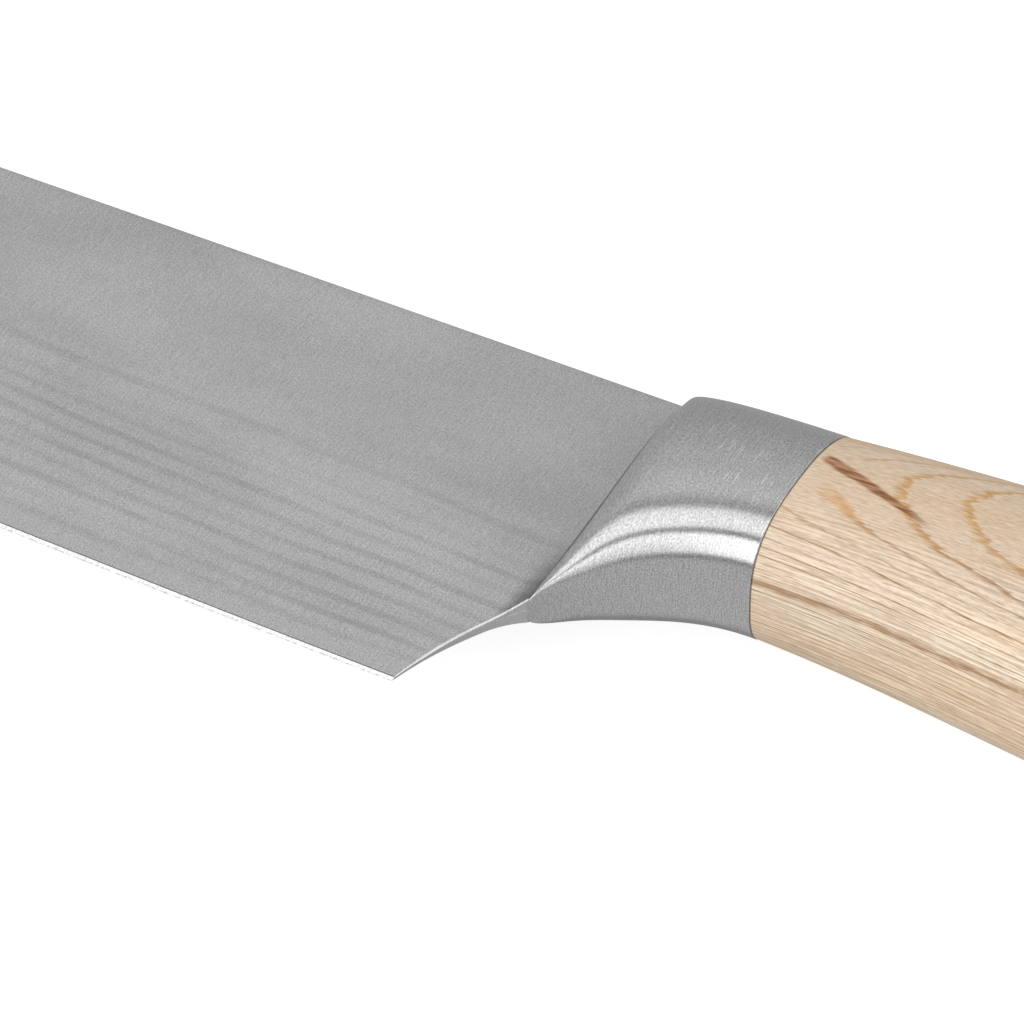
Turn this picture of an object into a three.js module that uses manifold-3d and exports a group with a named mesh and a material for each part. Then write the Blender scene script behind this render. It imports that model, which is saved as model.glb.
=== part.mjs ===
// A nakiri: a broad vegetable knife with a three-layer blade, a steel bolster and a one-piece wooden handle.
//
// Millimetres. The knife lies on its right side: +X runs to the butt, +Y to the spine, +Z from the left face.
// While the pieces are drawn, x = 0 and y = 0 are the heel on the edge and z = 0 is the blade's middle plane.
// At the end the whole knife moves so that the origin is under the middle of its box, on the table.

import * as THREE from 'three';
import { mergeVertices } from 'three/addons/utils/BufferGeometryUtils.js';
import Module from 'manifold-3d';

// Blade outline
const bladeLength = 165; // heel to tip
const bladeHeight = 48; // edge to spine at the heel
const tipRise = 7; // how far the edge climbs from the heel to the tip
const edgeBelly = 1.15; // how far the edge bows below its chord
const tipSpineRadius = 26; // round corner between spine and nose
const tipEdgeRadius = 2.5; // eased corner between nose and edge

// Blade section
const spineThickness = 2.0;
const coreThickness = 0.62; // the hard layer that carries the edge
const grindHeight = 26; // the faces are parallel above this height and ground to the edge below it
const thicknessAtBevel = 0.36;
const bevelHeight = 0.45; // honed bevel on each side of the edge
const plungeRadius = 2.6; // the grind runs out this far short of the bolster
const plungeLift = 1.7; // how far each ground face, drawn on down to the bevel, stands out again there

// Finger curve: the choil and the bolster's underside are ground to this one curve
const heelAngle = THREE.MathUtils.degToRad(75); // how steeply the choil leaves the edge
const heelReach = 13.7; // how far the curve follows that direction
const gripReach = 12.3; // how far it follows the grip's underside

// Bolster
const bolsterSetback = 7.0; // heel to bolster, along the knife
const bolsterLength = 18.6;
const bolsterFrontThickness = 3.2;
const bolsterTopStep = 2.1; // how far the grip stands above the spine
const bolsterTaper = 0.8; // how much the grip's own taper narrows each side along the bolster
const underFullness = 4.8; // how soon the nose swells to the grip along its underside: more is blunter
const sideFullness = 11.2; // the same along its bluntest line
const backFullness = 8.5; // the same along its back
const bluntShare = 0.7; // height of the bluntest line, as a share of the front's own height
const frontTopSquareness = 4; // superellipse exponents: 2 is an ellipse, more is squarer
const frontUnderSquareness = 22;
const squareFade = 12; // how soon the front's squareness gives way to the grip's: more is sooner
const frontEdgeRadius = 0.3; // eased front edge along the blade's faces
const frontTopRadius = 0.9; // rounded front corner above the spine

// Grip section at the seam between bolster and wood
const gripHeight = 24.0;
const gripThickness = 17.0;
const seamTopSquareness = 2.12;
const seamUnderSquareness = 2.8;
const widestShare = 0.44; // height of the widest line, as a share of the section's own height

// Wooden handle
const handleLength = 108;
const swellPlace = 55; // seam to palm swell
const seamStep = 0.06; // how far the steel stands proud of the wood
const swellRise = 2.6; // how far the back arches above the seam
const swellDrop = 4.4; // how far the belly hangs below the seam
const swellThickness = 20.2;
const waistPlace = 84;
const waistDrop = 3.5;
const buttDrop = 5.2;
const buttThickness = 19.4;
const buttRadius = 6; // rounded end

// Tang and its bedding
const tangHeight = 12;
const tangDrop = 6.2; // grip's top to the tang's upper edge
const tangInWood = 70;
const slotClearance = 0.1; // all round the tang in the bolster
const beddingThickness = 0.8; // resin between tang and wood

// Fineness of the curved surfaces
const ringSides = 48;
const edgeSteps = 24;
const plungeSteps = 4;
const curveSteps = 14;
const bolsterSteps = 18;
const noseSpacing = 1.6; // more than 1 sets the bolster's rings closer together near the front
const roundSteps = 6;
const handleSteps = 24;

// Places that follow from the sizes above
const seam = bolsterSetback + bolsterLength;
const butt = seam + handleLength;
const gripTop = bladeHeight + bolsterTopStep;
const gripUnderside = gripTop - gripHeight;
const tangTop = gripTop - tangDrop;
const tangUnderside = tangTop - tangHeight;
const tangEnd = seam + tangInWood;
const bladeHalf = spineThickness / 2;
const coreHalf = coreThickness / 2;
const cutMargin = 1; // cutting shapes reach this far past what they cut

const fingerCurve = new THREE.CubicBezierCurve(
  new THREE.Vector2(0, 0),
  new THREE.Vector2(heelReach * Math.cos(heelAngle), heelReach * Math.sin(heelAngle)),
  new THREE.Vector2(seam - gripReach, gripUnderside),
  new THREE.Vector2(seam, gripUnderside),
);

// The finger curve's parameter at a place along the knife, by halving: x only grows along the curve.
function fingerParameter(x) {
  let low = 0;
  let high = 1;
  for (let halving = 0; halving < 40; halving += 1) {
    const middle = (low + high) / 2;
    if (fingerCurve.getPoint(middle).x < x) low = middle;
    else high = middle;
  }
  return (low + high) / 2;
}

// Height of the cutting edge at x: a straight climb to the tip with a parabolic belly under it.
function edgeHeight(x) {
  const share = -x / bladeLength;
  return tipRise * share - 4 * edgeBelly * share * (1 - share);
}

// A smooth step from 0 to 1, level at both ends.
function ease(share) {
  return share * share * (3 - 2 * share);
}

// A closed skin through rings of equal count that run along +X, each ring turning from +Z towards +Y.
function loft(rings) {
  const sides = rings[0].length;
  const positions = [];
  const triangles = [];
  for (const ring of rings) {
    for (const point of ring) positions.push(point.x, point.y, point.z);
  }
  for (let row = 0; row + 1 < rings.length; row += 1) {
    for (let side = 0; side < sides; side += 1) {
      const next = (side + 1) % sides;
      const here = row * sides;
      const ahead = here + sides;
      triangles.push(here + side, ahead + next, here + next);
      triangles.push(here + side, ahead + side, ahead + next);
    }
  }
  const last = (rings.length - 1) * sides;
  for (let side = 1; side + 1 < sides; side += 1) {
    triangles.push(0, side, side + 1);
    triangles.push(last, last + side + 1, last + side);
  }
  const geometry = new THREE.BufferGeometry();
  geometry.setAttribute('position', new THREE.Float32BufferAttribute(positions, 3));
  geometry.setIndex(triangles);
  return geometry;
}

// A box between two corners.
function boxBetween(low, high) {
  const [width, height, depth] = high.map((value, axis) => value - low[axis]);
  const box = new THREE.BoxGeometry(width, height, depth);
  return box.translate(low[0] + width / 2, low[1] + height / 2, low[2] + depth / 2);
}

const wasm = await Module();
wasm.setup();

// A three.js geometry as a solid that can be cut.
function solid(geometry) {
  const bare = geometry.clone();
  bare.deleteAttribute('normal');
  bare.deleteAttribute('uv');
  const merged = mergeVertices(bare, 1e-5);
  const mesh = new wasm.Mesh({
    numProp: 3,
    vertProperties: new Float32Array(merged.getAttribute('position').array),
    triVerts: new Uint32Array(merged.index.array),
  });
  return new wasm.Manifold(mesh);
}

// A cut solid as a three.js geometry again.
function skin(cut) {
  const mesh = cut.getMesh();
  const geometry = new THREE.BufferGeometry();
  geometry.setAttribute('position', new THREE.Float32BufferAttribute(mesh.vertProperties, 3));
  geometry.setIndex(Array.from(mesh.triVerts));
  return geometry;
}

// Blade

// The blank seen from the left: edge side, choil, shoulders and tang, spine and nose.
function blankOutline() {
  const outline = new THREE.Shape();
  const nose = -bladeLength;
  const below = -cutMargin - edgeBelly;
  outline.moveTo(0, below);
  outline.lineTo(0, 0);
  const shoulder = fingerParameter(bolsterSetback);
  for (let step = 1; step < curveSteps; step += 1) {
    const point = fingerCurve.getPoint((shoulder * step) / curveSteps);
    outline.lineTo(point.x, point.y);
  }
  outline.lineTo(bolsterSetback, fingerCurve.getPoint(shoulder).y);
  outline.lineTo(bolsterSetback, tangUnderside);
  outline.lineTo(tangEnd, tangUnderside);
  outline.lineTo(tangEnd, tangTop);
  outline.lineTo(bolsterSetback, tangTop);
  outline.lineTo(bolsterSetback, bladeHeight);
  outline.lineTo(nose + tipSpineRadius, bladeHeight);
  const spineTurn = bladeHeight - tipSpineRadius;
  outline.absarc(nose + tipSpineRadius, spineTurn, tipSpineRadius, Math.PI / 2, Math.PI, false);
  const edgeTurn = edgeHeight(nose + tipEdgeRadius) + tipEdgeRadius;
  outline.absarc(nose + tipEdgeRadius, edgeTurn, tipEdgeRadius, Math.PI, 1.5 * Math.PI, false);
  outline.lineTo(nose + tipEdgeRadius, below);
  return outline;
}

// The blade's section at x, a flat-sided wedge: edge, bevel, grind line and spine on each face.
// Close to the bolster the wedge fills out along a parabola, as the grinding wheel lifts away.
function bladeSection(x) {
  const edge = edgeHeight(x);
  const fromBolster = Math.max(0, bolsterSetback - x);
  const plunge = Math.max(0, 1 - fromBolster / plungeRadius) ** 2;
  const left = [
    [edge + bevelHeight, thicknessAtBevel / 2 + plungeLift * plunge],
    [grindHeight, bladeHalf],
    [bladeHeight + cutMargin, bladeHalf],
  ];
  const right = left.map(([height, half]) => [height, -half]).reverse();
  return [[edge, 0], ...left, ...right].map(([height, half]) => new THREE.Vector3(x, height, half));
}

function groundBlank() {
  const start = -bladeLength - cutMargin;
  const plungeStart = bolsterSetback - plungeRadius;
  const rings = [];
  for (let step = 0; step < edgeSteps; step += 1) {
    rings.push(bladeSection(start + ((plungeStart - start) * step) / edgeSteps));
  }
  for (let step = 0; step <= plungeSteps; step += 1) {
    rings.push(bladeSection(plungeStart + (plungeRadius * step) / plungeSteps));
  }
  rings.push(bladeSection(tangEnd + cutMargin));
  const outline = new THREE.ExtrudeGeometry(blankOutline(), {
    depth: spineThickness + 2 * cutMargin,
    bevelEnabled: false,
    curveSegments: curveSteps,
  }).translate(0, 0, -bladeHalf - cutMargin);
  return solid(loft(rings)).intersect(solid(outline));
}

// One layer of the laminated blank, between two heights above its middle plane.
function bladeLayer(blank, low, high) {
  const before = -bladeLength - 2 * cutMargin;
  const under = -2 * cutMargin - edgeBelly;
  const slab = boxBetween([before, under, low], [tangEnd + 2 * cutMargin, bladeHeight + 2 * cutMargin, high]);
  return skin(blank.intersect(solid(slab)));
}

// Bolster and handle

// A grip section at x: half a superellipse above the widest line and half a squarer or rounder one below.
// halfAt gives half its thickness for each height.
function gripSection({ x, halfAt, top, under, topSquareness, underSquareness }) {
  const widest = under + widestShare * (top - under);
  const ring = [];
  for (let side = 0; side < ringSides; side += 1) {
    const angle = (2 * Math.PI * side) / ringSides;
    const across = Math.cos(angle);
    const along = Math.sin(angle);
    const power = 2 / (along >= 0 ? topSquareness : underSquareness);
    const reach = along >= 0 ? top - widest : widest - under;
    const height = widest + reach * Math.sign(along) * Math.abs(along) ** power;
    const depth = halfAt(height) * Math.sign(across) * Math.abs(across) ** power;
    ring.push(new THREE.Vector3(x, height, depth));
  }
  return ring;
}

// How far a rounded end has drawn in, at a distance short of its end face.
function roundedInset(radius, fromEnd) {
  if (fromEnd >= radius) return 0;
  return radius - Math.sqrt(radius ** 2 - (radius - fromEnd) ** 2);
}

// How blunt the bolster's nose is at a height: most on its sides, less along its back and least underneath.
function noseFullness(height) {
  const frontUnderside = fingerCurve.getPoint(fingerParameter(bolsterSetback)).y;
  const share = (height - frontUnderside) / (gripTop - frontUnderside);
  if (share < bluntShare) return THREE.MathUtils.lerp(underFullness, sideFullness, ease(share / bluntShare));
  return THREE.MathUtils.lerp(sideFullness, backFullness, ease((share - bluntShare) / (1 - bluntShare)));
}

// The bolster is a blunt nose: just over the blade's thickness in front, it soon swells to the tapering grip.
function bolsterSection(x) {
  const fromFront = x - bolsterSetback;
  const left = Math.max(0, 1 - fromFront / bolsterLength);
  const square = left ** squareFade;
  const grip = gripThickness / 2 - bolsterTaper * left;
  const eased = roundedInset(frontEdgeRadius, fromFront);
  return gripSection({
    x,
    halfAt: (height) =>
      THREE.MathUtils.lerp(grip, bolsterFrontThickness / 2, left ** noseFullness(height)) - eased,
    top: gripTop - roundedInset(frontTopRadius, fromFront),
    under: left > 0 ? fingerCurve.getPoint(fingerParameter(x)).y : gripUnderside,
    topSquareness: seamTopSquareness * (frontTopSquareness / seamTopSquareness) ** square,
    underSquareness: seamUnderSquareness * (frontUnderSquareness / seamUnderSquareness) ** square,
  });
}

function bolsterSkin() {
  const rings = [];
  for (let step = 0; step < roundSteps; step += 1) {
    const turn = ((Math.PI / 2) * step) / roundSteps;
    rings.push(bolsterSection(bolsterSetback + frontTopRadius * (1 - Math.cos(turn))));
  }
  const start = bolsterSetback + frontTopRadius;
  for (let step = 0; step < bolsterSteps; step += 1) {
    rings.push(bolsterSection(start + (seam - start) * (step / bolsterSteps) ** noseSpacing));
  }
  rings.push(bolsterSection(seam));
  const slot = boxBetween(
    [bolsterSetback - cutMargin, tangUnderside - slotClearance, -bladeHalf - slotClearance],
    [seam + cutMargin, tangTop + slotClearance, bladeHalf + slotClearance],
  );
  return skin(solid(loft(rings)).subtract(solid(slot)));
}

// The belly's drop below the seam: down to the palm swell, back up to the waist, down again to the butt.
function bellyDrop(along) {
  if (along < swellPlace) return swellDrop * ease(along / swellPlace);
  if (along < waistPlace) {
    return THREE.MathUtils.lerp(swellDrop, waistDrop, ease((along - swellPlace) / (waistPlace - swellPlace)));
  }
  return THREE.MathUtils.lerp(waistDrop, buttDrop, ease((along - waistPlace) / (handleLength - waistPlace)));
}

// Thickness of the wood: a parabola up to the palm swell, then a smooth step down to the butt.
function handleThickness(along) {
  if (along < swellPlace) {
    const short = 1 - along / swellPlace;
    return THREE.MathUtils.lerp(swellThickness, gripThickness, short ** 2);
  }
  const share = (along - swellPlace) / (handleLength - swellPlace);
  return THREE.MathUtils.lerp(swellThickness, buttThickness, ease(share));
}

function handleSection(along) {
  const inset = roundedInset(buttRadius, handleLength - along);
  const arch = swellRise * (1 - (1 - along / swellPlace) ** 2);
  const half = handleThickness(along) / 2 - seamStep - inset;
  return gripSection({
    x: seam + along,
    halfAt: () => half,
    top: gripTop - seamStep + arch - inset,
    under: gripUnderside + seamStep - bellyDrop(along) + inset,
    topSquareness: seamTopSquareness,
    underSquareness: seamUnderSquareness,
  });
}

function handleSkin() {
  const rings = [];
  const straight = handleLength - buttRadius;
  for (let step = 0; step < handleSteps; step += 1) {
    rings.push(handleSection((straight * step) / handleSteps));
  }
  for (let step = 0; step <= roundSteps; step += 1) {
    const turn = ((Math.PI / 2) * step) / roundSteps;
    rings.push(handleSection(straight + buttRadius * Math.sin(turn)));
  }
  rings.at(0).forEach((point) => point.setX(seam));
  rings.at(-1).forEach((point) => point.setX(butt));
  return skin(solid(loft(rings)).subtract(solid(beddingBox(seam - cutMargin))));
}

// The socket in the wood, which the resin fills, from a given start to past the tang's end.
function beddingBox(start) {
  return boxBetween(
    [start, tangUnderside - beddingThickness, -bladeHalf - beddingThickness],
    [tangEnd + beddingThickness, tangTop + beddingThickness, bladeHalf + beddingThickness],
  );
}

function beddingSkin() {
  const tang = boxBetween([seam - cutMargin, tangUnderside, -bladeHalf], [tangEnd, tangTop, bladeHalf]);
  return skin(solid(beddingBox(seam)).subtract(solid(tang)));
}

// Assembly

const knife = new THREE.Group();

function addPiece(name, geometry, color, roughness, metalness) {
  const mesh = new THREE.Mesh(geometry, new THREE.MeshStandardMaterial({ color, roughness, metalness }));
  mesh.name = name;
  knife.add(mesh);
}

const blank = groundBlank();
const past = bladeHalf + cutMargin;
addPiece('blade_core', bladeLayer(blank, -coreHalf, coreHalf), '#b9bbbb', 0.25, 1);
addPiece('left_cladding', bladeLayer(blank, coreHalf, past), '#a3a4a4', 0.35, 1);
addPiece('right_cladding', bladeLayer(blank, -past, -coreHalf), '#a3a4a4', 0.35, 1);
addPiece('bolster', bolsterSkin(), '#aeb0b0', 0.3, 1);
addPiece('handle', handleSkin(), '#dcc09a', 0.6, 0);
addPiece('tang_bedding', beddingSkin(), '#c9b27c', 0.5, 0);

const box = new THREE.Box3().setFromObject(knife);
const middle = box.getCenter(new THREE.Vector3());
knife.position.set(-middle.x, -middle.y, -box.min.z);

export default knife;
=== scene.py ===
# %% [markdown]
# # A nakiri knife
# A broad vegetable knife with a three-layer blade, a steel bolster and a handle of pale wood.
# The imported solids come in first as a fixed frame. Each visible piece is then worked out again
# as a fine numpy surface from the same few sizes, so it fits its solid with nothing to adjust.

# %% Load the frame
import math

import bpy
import numpy as np
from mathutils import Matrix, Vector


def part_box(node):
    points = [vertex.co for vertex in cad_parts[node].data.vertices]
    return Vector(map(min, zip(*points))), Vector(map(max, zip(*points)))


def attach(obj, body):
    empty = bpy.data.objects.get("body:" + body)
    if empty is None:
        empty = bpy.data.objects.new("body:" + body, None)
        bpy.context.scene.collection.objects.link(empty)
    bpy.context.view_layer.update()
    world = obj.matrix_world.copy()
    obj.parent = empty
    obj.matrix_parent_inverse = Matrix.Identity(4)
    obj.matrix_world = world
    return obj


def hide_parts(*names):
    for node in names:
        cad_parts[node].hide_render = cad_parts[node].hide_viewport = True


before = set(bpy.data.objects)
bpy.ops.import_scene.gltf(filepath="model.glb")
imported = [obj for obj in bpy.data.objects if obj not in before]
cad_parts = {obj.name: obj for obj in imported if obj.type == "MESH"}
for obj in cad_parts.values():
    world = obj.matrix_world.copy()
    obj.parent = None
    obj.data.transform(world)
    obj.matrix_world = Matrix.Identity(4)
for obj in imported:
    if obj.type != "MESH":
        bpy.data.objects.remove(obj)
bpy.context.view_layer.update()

print("frame nodes:", sorted(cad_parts))

# %% [markdown]
# ## Where the knife lies
# All places are counted from the heel, the corner where the cutting edge ends: x grows to the butt,
# y to the spine and z out of the left face, which looks up. The frame's boxes give most places,
# and the few sizes that no box shows are written here as real measures.

# %% Places taken from the frame
MM = 0.001
core_low, core_high = (np.array(corner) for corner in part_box("blade_core"))
bolster_low, bolster_high = (np.array(corner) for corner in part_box("bolster"))
handle_high = np.array(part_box("handle")[1])
cladding_high = np.array(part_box("left_cladding")[1])

shoulder = 7.0 * MM
grip_height = 24.0 * MM
tang_drop = 6.2 * MM
tang_height = 12.0 * MM
heel = np.array([bolster_low[0] - shoulder, core_low[1], (core_low[2] + core_high[2]) / 2])
nose = core_low[0] - heel[0]
spine = core_high[1] - heel[1]
blade_half = cladding_high[2] - heel[2]
core_half = core_high[2] - heel[2]
seam = bolster_high[0] - heel[0]
butt = handle_high[0] - heel[0]
grip_top = bolster_high[1] - heel[1]
grip_under = grip_top - grip_height
tang_end = core_high[0] - heel[0]
tang_top = grip_top - tang_drop
tang_under = tang_top - tang_height
print(f"blade {-nose / MM:.1f} mm long and {spine / MM:.1f} mm high, handle to {butt / MM:.1f} mm")

# %% [markdown]
# ## The camera
# The photograph looks down on the left face from the handle's side with a long lens.
# The angles and the distance come from fitting the straight spine, the seam and the outlines.

# %% Camera
camera_azimuth = math.radians(28.25)
camera_elevation = math.radians(42.05)
camera_distance = 695.6 * MM
target_from_heel = np.array([-1.24, 27.03, 0.0]) * MM
image_side = 1024
focal_pixels = 7007.4

camera_data = bpy.data.cameras.new("camera")
camera_data.sensor_width = 36.0
camera_data.lens = focal_pixels / image_side * camera_data.sensor_width
camera = bpy.data.objects.new("camera", camera_data)
back = np.array([
    math.sin(camera_azimuth) * math.cos(camera_elevation),
    -math.cos(camera_azimuth) * math.cos(camera_elevation),
    math.sin(camera_elevation),
])
camera.location = heel + target_from_heel + camera_distance * back
camera.rotation_euler = (math.pi / 2 - camera_elevation, 0, camera_azimuth)
bpy.context.scene.collection.objects.link(camera)
bpy.context.scene.camera = camera
print(f"camera lens {camera_data.lens:.0f} mm at {camera_distance:.2f} m")

# %% [markdown]
# ## Skins over rings
# Every piece of this knife is long in one direction, so each can be a stack of rings along X with
# a skin over them. One helper turns an array of rings into a closed mesh. Ends are closed by a
# point in their middle, or the last ring joins the first one where a piece has a hole through it.
# The helper also lays a map on the skin, along the knife and round it, which the brushed finish needs.

# %% A closed skin over rings
GRAIN_MAP = "grain"


def skin(name, rings, round_lay, through=False, crease=30.0):
    """A closed mesh over rings[station, side], joined ring to ring.

    Each ring turns from +Z towards +Y while the stations run along +X, so faces point outwards.
    With through the last ring joins the first, otherwise a middle point closes each end.
    The map's u is round_lay, which has one more side than the rings, and its v is x.
    Edges that turn by more than crease degrees stay sharp.
    """
    stations, sides = rings.shape[:2]
    rows = stations if through else stations - 1
    row, side = np.meshgrid(np.arange(rows), np.arange(sides), indexing="ij")
    ahead = (row + 1) % stations
    after = (side + 1) % sides
    quads = np.stack([row, ahead, ahead, row], -1) * sides + np.stack([side, side, after, after], -1)
    corner_row = np.stack([row, ahead, ahead, row], -1)
    corner_side = np.stack([side, side, side + 1, side + 1], -1)
    lay = np.stack([round_lay[corner_row, corner_side], rings[corner_row, corner_side % sides, 0]], -1)
    points = rings.reshape(-1, 3)
    faces = quads.reshape(-1, 4).tolist()
    lay = lay.reshape(-1, 2)
    if not through:
        ends = rings[[0, -1]].mean(1)
        this = np.arange(sides)
        following = (this + 1) % sides
        first = np.stack([this, following, np.full(sides, len(points))], -1)
        last = np.stack([following, this, np.full(sides, len(points) + 1)], -1)
        last[:, :2] += (stations - 1) * sides
        points = np.concatenate([points, ends])
        caps = np.concatenate([first, last])
        faces += caps.tolist()
        lay = np.concatenate([lay, points[caps].reshape(-1, 3)[:, 1:]])
    mesh = bpy.data.meshes.new(name)
    mesh.from_pydata((points + heel).tolist(), [], faces)
    mesh.uv_layers.new(name=GRAIN_MAP).uv.foreach_set("vector", lay.astype(np.float32).ravel())
    mesh.shade_smooth()
    mesh.set_sharp_from_angle(angle=math.radians(crease))
    piece = bpy.data.objects.new(name, mesh)
    bpy.context.scene.collection.objects.link(piece)
    print(f"{name}: {len(mesh.vertices)} points, {len(mesh.polygons)} faces")
    return piece


# %% [markdown]
# ## The finger curve
# The choil, which is the blade's back edge above the heel, and the bolster's underside are ground
# to one curve. It is a cubic curve with four control points: it leaves the heel steeply and
# flattens into the grip. Reading it at many parameters and interpolating gives its height at any x.

# %% Finger curve
heel_angle = math.radians(75)
heel_reach = 13.7 * MM
grip_reach = 12.3 * MM
finger_controls = np.array([
    [0, 0],
    [heel_reach * math.cos(heel_angle), heel_reach * math.sin(heel_angle)],
    [seam - grip_reach, grip_under],
    [seam, grip_under],
])
finger_share = np.linspace(0, 1, 4001)[:, None]
finger_weights = np.concatenate([
    (1 - finger_share) ** 3,
    3 * finger_share * (1 - finger_share) ** 2,
    3 * finger_share ** 2 * (1 - finger_share),
    finger_share ** 3,
], 1)
finger_x, finger_y = (finger_weights @ finger_controls).T
finger_slope_y = np.gradient(finger_y, finger_x)


def finger_height(x):
    """Height of the finger curve at x."""
    return np.interp(x, finger_x, finger_y)


def finger_lean(x):
    """Length of the finger curve for each step in x: the root of one plus its slope squared."""
    return np.hypot(1, np.interp(x, finger_x, finger_slope_y))


print(f"the finger curve meets the bolster {finger_height(shoulder) / MM:.1f} mm above the edge")

# %% [markdown]
# ## The blade's thickness
# The blade is forge welded from three layers and then ground: flat above the grind line, thinning
# to the edge below it, with a small honed bevel. So its whole face is one height field over x and y.
# The corners of spine and nose are rounded and the choil's is chamfered. Close to the bolster the
# grinding wheel leaves a hollow radius that climbs to it. The layers are then cut from that field.

# %% Blade outline
edge_rise = 7.0 * MM
edge_belly = 1.15 * MM
spine_corner = 26.0 * MM
edge_corner = 2.5 * MM


def edge_height(x):
    """Height of the cutting edge: a straight climb to the nose with a parabolic belly under it."""
    share = x / nose
    return edge_rise * share - 4 * edge_belly * share * (1 - share)


def lower_outline(x):
    """The blade's lower border: the nose's small corner arc, the edge, then the choil."""
    corner = nose + edge_corner
    inward = np.clip(corner - x, 0, edge_corner)
    arc = edge_height(corner) + edge_corner - np.sqrt(edge_corner ** 2 - inward ** 2)
    return np.where(x > 0, finger_height(x), np.where(x < corner, arc, edge_height(x)))


def upper_outline(x):
    """The blade's upper border: the straight spine, and a quarter circle down to the nose."""
    inward = np.clip(nose + spine_corner - x, 0, spine_corner)
    return spine - spine_corner + np.sqrt(spine_corner ** 2 - inward ** 2)


print(f"the edge climbs {edge_height(nose) / MM:.1f} mm from heel to nose")

# %% Distances from the blade's borders
choil_width = 0.17 * MM
ease_least = 0.35
ease_start = 2.0 * MM
ease_fade = 3.5 * MM


def from_back(x, y):
    """Distance from the spine or the nose."""
    return spine_corner - np.hypot(
        np.maximum(nose + spine_corner - x, 0), np.maximum(y - spine + spine_corner, 0))


def from_choil(x, y):
    """Distance from the choil, which runs on as a straight line below the heel."""
    return np.where(
        x > 0, (y - finger_height(x)) / finger_lean(x),
        y * math.cos(heel_angle) - x * math.sin(heel_angle))


def choil_ease(x):
    """Width of the choil's chamfer, which is narrower at the thin heel and fades out on the bolster."""
    growing = np.clip(ease_least + x / ease_start, ease_least, 1)
    fading = np.clip(1 - (x - shoulder) / ease_fade, 0, 1) ** 2
    return choil_width * growing * fading


def rounded_inset(radius, from_end):
    """How far a rounded end has drawn in, at a distance short of its end face."""
    short = np.clip(radius - from_end, 0, radius)
    return radius - np.sqrt(radius ** 2 - short ** 2)


print(f"the choil's chamfer is {choil_ease(0.0) / MM:.2f} to {choil_ease(shoulder) / MM:.2f} mm wide")

# %% Blade face
grind_height = 26.0 * MM
bevel_height = 0.45 * MM
bevel_half = 0.18 * MM
back_round = 0.3 * MM
plunge_radius = 2.6 * MM
plunge_lift = 1.7 * MM


def face_half(x, y):
    """Half the blade's thickness at x, y: bevel, ground wedge and flat, then plunge, rounding and chamfer."""
    above = y - edge_height(x) - bevel_height
    wedge = np.clip(above / (grind_height - edge_height(x) - bevel_height), 0, 1)
    bevel = bevel_half * np.clip(1 + above / bevel_height, 0, 1)
    half = bevel + (blade_half - bevel_half) * wedge
    plunge = np.clip(1 + (x - shoulder) / plunge_radius, 0, 1) ** 2
    half = half + plunge_lift * (1 - wedge) * plunge
    half = half - rounded_inset(back_round, from_back(x, y))
    return np.maximum(half - np.maximum(choil_ease(x) - from_choil(x, y), 0), 0)


print(f"blade {2 * face_half(0.0, spine / 2) / MM:.2f} mm thick at half height above the heel")

# %% Weld between the layers
weld_waves = ((0.020, 9.0 * MM, 0.0), (0.014, 3.7 * MM, 1.0))


def weld_half(x):
    """Half the core's thickness, which wavers a little because the layers were forged together."""
    wave = sum(depth * np.sin(x / length + start) for depth, length, start in weld_waves)
    return core_half * (1 + wave)


def weld_line(x):
    """Height at which the ground face cuts through to the core, found by halving a span 30 times."""
    low = lower_outline(x)
    high = low + grind_height / 2
    for _ in range(30):
        middle = (low + high) / 2
        in_core = face_half(x, middle) < weld_half(x)
        low = np.where(in_core, middle, low)
        high = np.where(in_core, high, middle)
    return high


print(f"the face cuts through to the core {weld_line(0.0) / MM:.1f} mm above the heel")

# %% [markdown]
# ## The three layers
# The hard core and the softer layers on its sides come from one blank, so all three use the same stations
# along the blade, set closer where the outline turns. Where the ground face is thinner than the core, the
# core shows, and above that line the cladding covers it. Cutting one solid twice would do too, but rings
# with a point on each border keep the borders sharp. Each layer runs on into its share of the tang.

# %% Stations along the blade
quarter = np.linspace(0, math.pi / 2, 41)
blade_x = np.unique(np.concatenate([
    nose + spine_corner * (1 - np.cos(quarter)),
    nose + edge_corner * (1 - np.cos(quarter[::4])),
    np.linspace(nose + spine_corner, 0, 151),
    np.linspace(0, shoulder, 71),
]))
least_step = 0.004 * MM
blade_x = blade_x[np.append(True, np.diff(blade_x) > least_step)][:, None]
sliver = 0.002 * MM
ease_rise = choil_ease(blade_x) * np.where(blade_x > 0, finger_lean(blade_x), 1)
blade_low = lower_outline(blade_x)
blade_high = upper_outline(blade_x)
weld_low = np.maximum(weld_line(blade_x), blade_low + 20 * sliver)
print(f"{len(blade_x)} stations along the blade")


def with_tang(y, z, outer):
    """Blade rings followed by the tang: the same sides squeezed to its height, from shoulder to end."""
    share = (y[-1] - y[-1].min()) / np.ptp(y[-1])
    tang_y = tang_under + share * (tang_top - tang_under)
    tang_z = np.where(outer, np.sign(z[-1]) * blade_half, np.sign(z[-1]) * core_half)
    x = np.append(blade_x[:, 0], [shoulder, tang_end])
    y = np.concatenate([y, [tang_y, tang_y]])
    z = np.concatenate([z, [tang_z, tang_z]])
    rings = np.stack([np.broadcast_to(x[:, None], y.shape), y, z], -1)
    lay = y - z
    return rings, np.concatenate([lay, lay[:, :1]], 1)


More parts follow.
